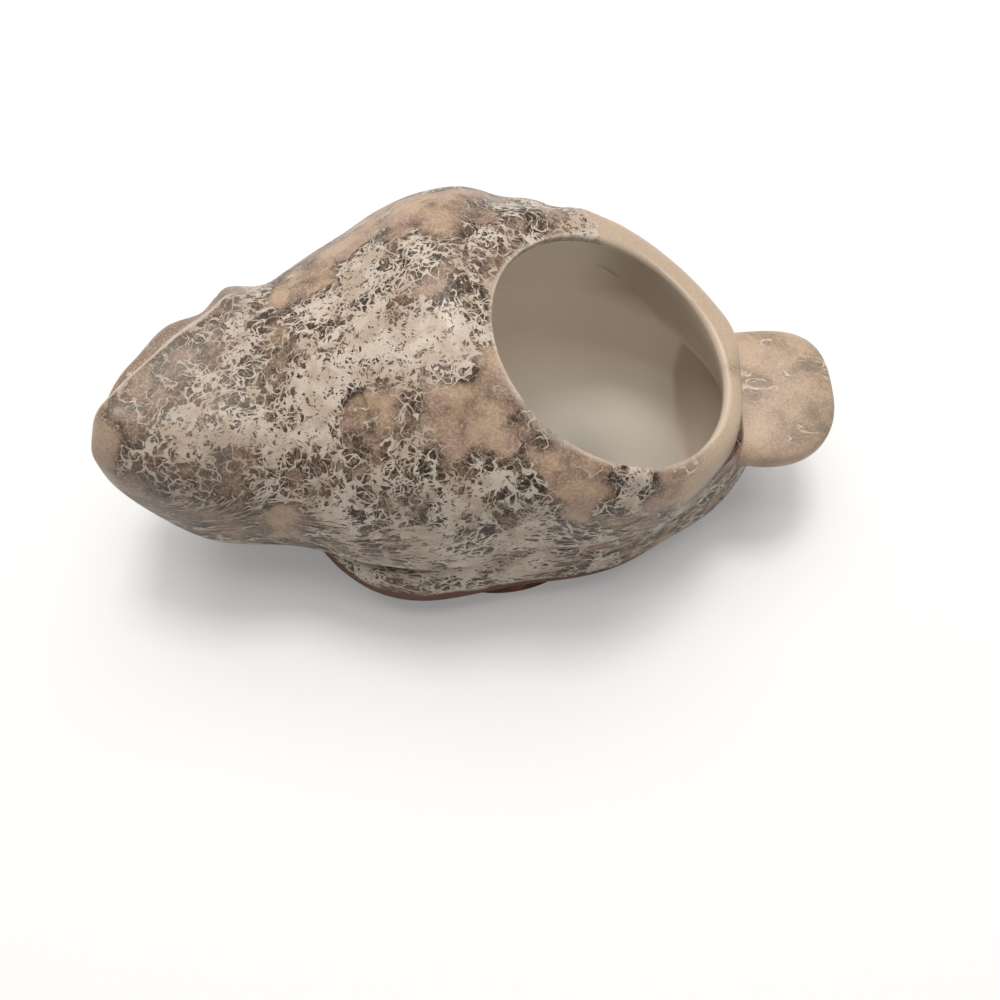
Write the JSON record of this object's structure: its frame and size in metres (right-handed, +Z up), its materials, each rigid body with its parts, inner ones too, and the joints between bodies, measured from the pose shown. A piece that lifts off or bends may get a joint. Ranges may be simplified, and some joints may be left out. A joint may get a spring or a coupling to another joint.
{
  "type": "owl planter",
  "caption": "Crouching horned-owl planter in webbed brown ceramic glaze, head turned to its right, hollow, with a round planting mouth in its back and an oval foot.",
  "frame": {"origin": "middle of the oval foot, on the table", "axes": "+Z up; the body lies along X with the breast toward -X and the tail toward +X; +Y is the owl's right side"},
  "size_m": [0.1195, 0.0677, 0.051],
  "materials": {
    "webbed_glaze": "satin",
    "pale_glaze": "satin",
    "umber_glaze": "satin",
    "bare_clay": "matte"
  },
  "bodies": {
    "root": {"foot_pad": "bare_clay", "belly_bowl": "webbed_glaze", "back_saddle": "webbed_glaze", "left_wing": "webbed_glaze", "right_wing": "webbed_glaze", "mouth_rim": "pale_glaze", "tail_slab": "pale_glaze", "head_shell": "webbed_glaze", "brow_bar": "pale_glaze", "left_ear_tuft": "pale_glaze", "right_ear_tuft": "pale_glaze", "left_eye_disc": "pale_glaze", "right_eye_disc": "pale_glaze", "left_eye": "umber_glaze", "right_eye": "umber_glaze", "beak": "umber_glaze"}
  },
  "joints": []
}
